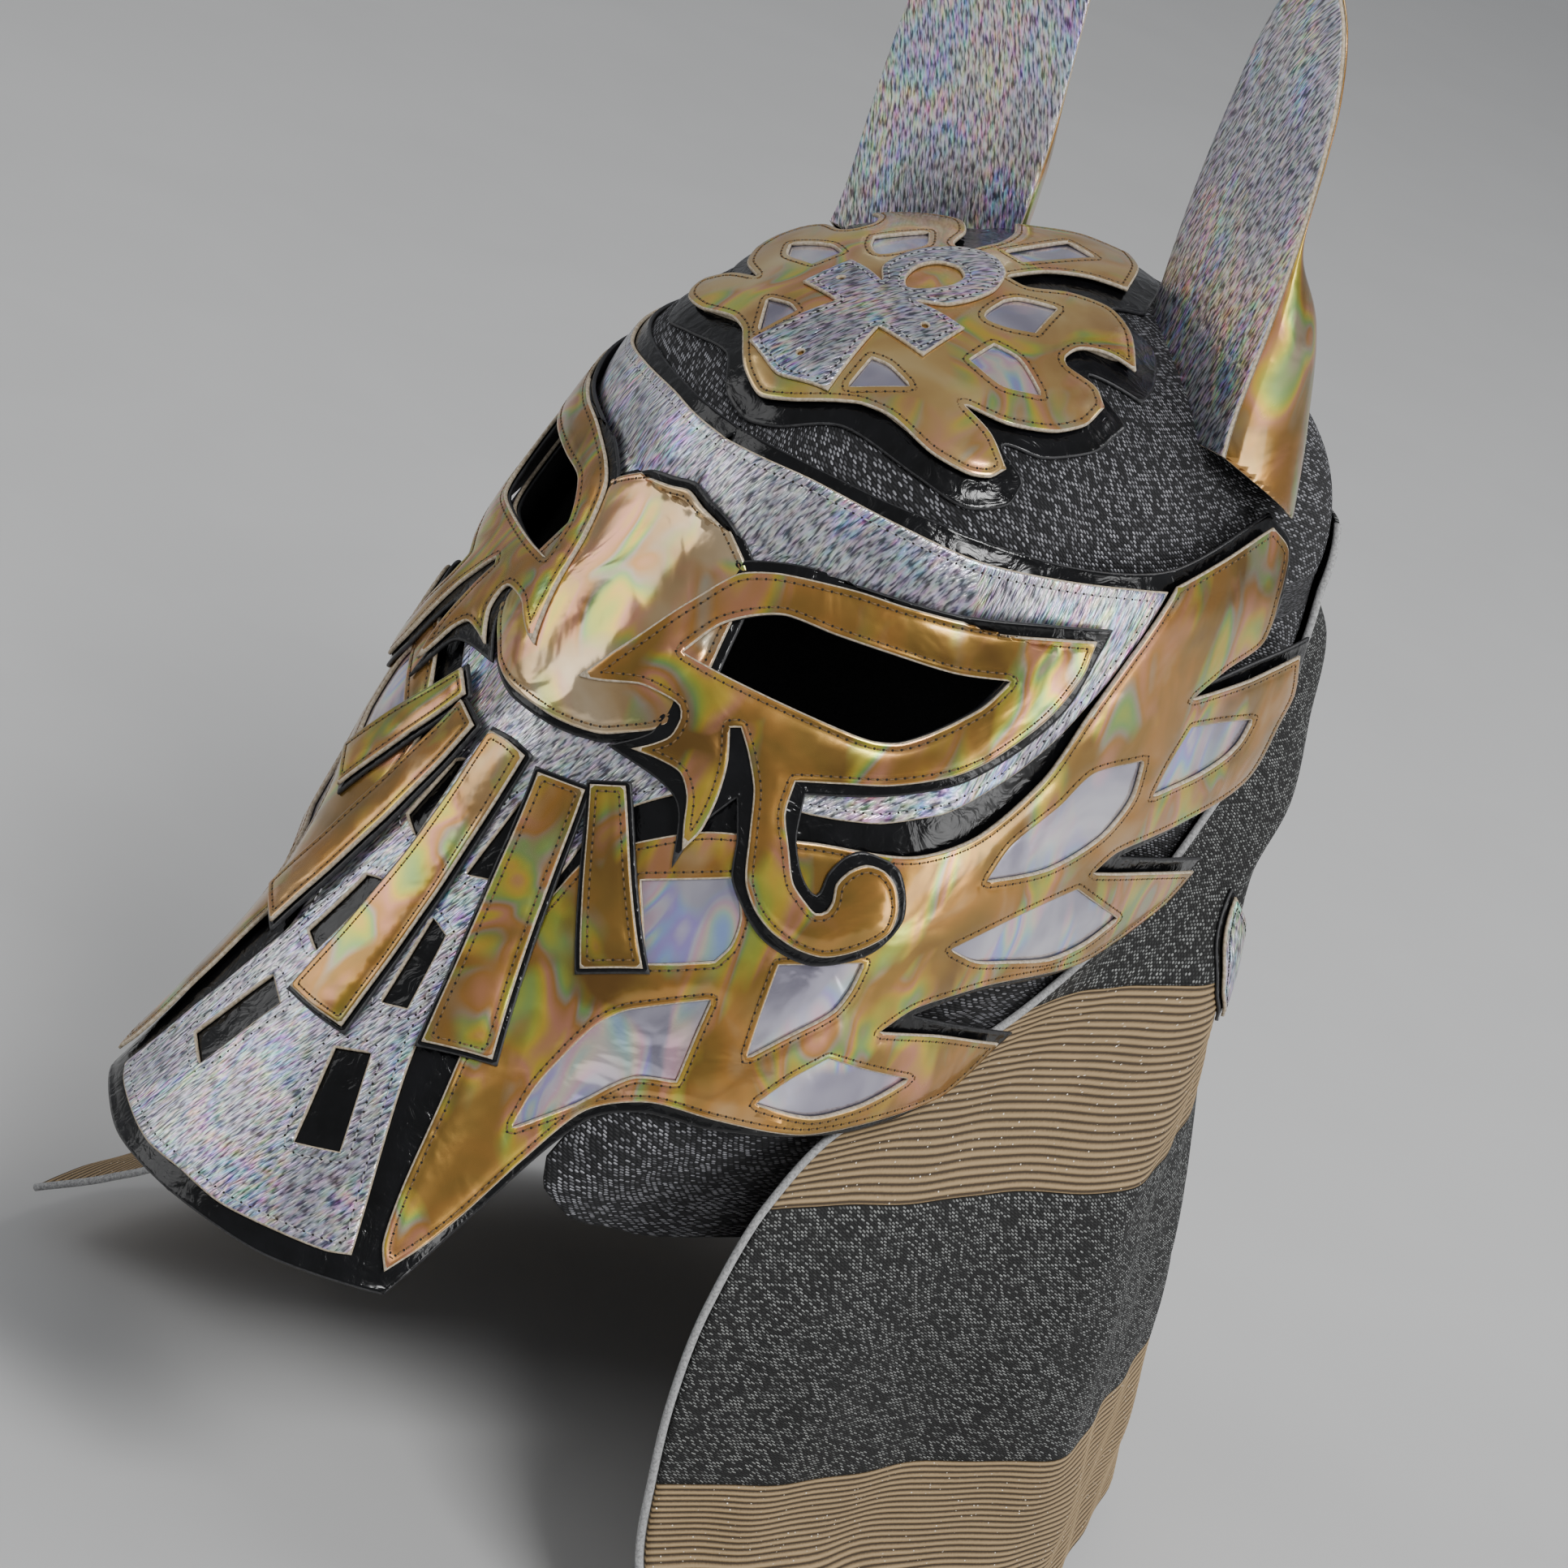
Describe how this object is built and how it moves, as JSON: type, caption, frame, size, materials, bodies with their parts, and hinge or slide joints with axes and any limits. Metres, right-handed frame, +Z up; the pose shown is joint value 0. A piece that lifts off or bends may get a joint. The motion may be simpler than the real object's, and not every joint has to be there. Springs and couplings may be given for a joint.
{
  "type": "luchador mask",
  "caption": "Full-head wrestling mask with a vinyl face of layered gold, silver and black panels, upright ears, a flame crown with an ankh, and a striped knit neck cape.",
  "frame": {"origin": "inside of the crown, where the top of a head sits, on the middle plane", "axes": "+Z up, -Y the way the face looks, +X the wearer's left"},
  "size_m": [0.2714, 0.342, 0.431],
  "materials": {
    "hood_knit": "black knit with silver glints",
    "fine_knit": "fine black knit with a metallic thread",
    "ribbed_knit": "brown ribbed knit with a metallic thread",
    "patent_black": "glossy patent",
    "silver_vinyl": "brushed silver foil",
    "pearl_vinyl": "pearly foil",
    "gold_vinyl": "glossy iridescent gold foil",
    "piping": "grey woven piping"
  },
  "bodies": {
    "root": {"hood_knit": "hood_knit", "face_base": "patent_black", "front_panel": "silver_vinyl", "cheek_backing_left": "pearl_vinyl", "cheek_backing_right": "pearl_vinyl", "cheek_panel_left": "gold_vinyl", "cheek_panel_right": "gold_vinyl", "nose_border": "patent_black", "nose_panel": "gold_vinyl", "eye_border_left": "patent_black", "eye_border_right": "patent_black", "eye_surround_left": "gold_vinyl", "eye_surround_right": "gold_vinyl", "bar_border_centre": "patent_black", "bar_border_inner_left": "patent_black", "bar_border_inner_right": "patent_black", "bar_border_outer_left": "patent_black", "bar_border_outer_right": "patent_black", "bar_centre": "gold_vinyl", "bar_inner_left": "gold_vinyl", "bar_inner_right": "gold_vinyl", "bar_outer_left": "gold_vinyl", "bar_outer_right": "gold_vinyl", "crown_border": "patent_black", "crown_backing": "pearl_vinyl", "crown_panel": "gold_vinyl", "crown_ankh": "silver_vinyl", "ear_front_left": "silver_vinyl", "ear_front_right": "silver_vinyl", "ear_back_left": "gold_vinyl", "ear_back_right": "gold_vinyl", "cape_black_top": "fine_knit", "cape_brown_upper": "ribbed_knit", "cape_black_lower": "fine_knit", "cape_brown_hem": "ribbed_knit", "cape_piping_left": "piping", "cape_piping_right": "piping", "tab_border_left": "patent_black", "tab_border_right": "patent_black", "tab_panel_left": "silver_vinyl", "tab_panel_right": "silver_vinyl"}
  },
  "joints": []
}
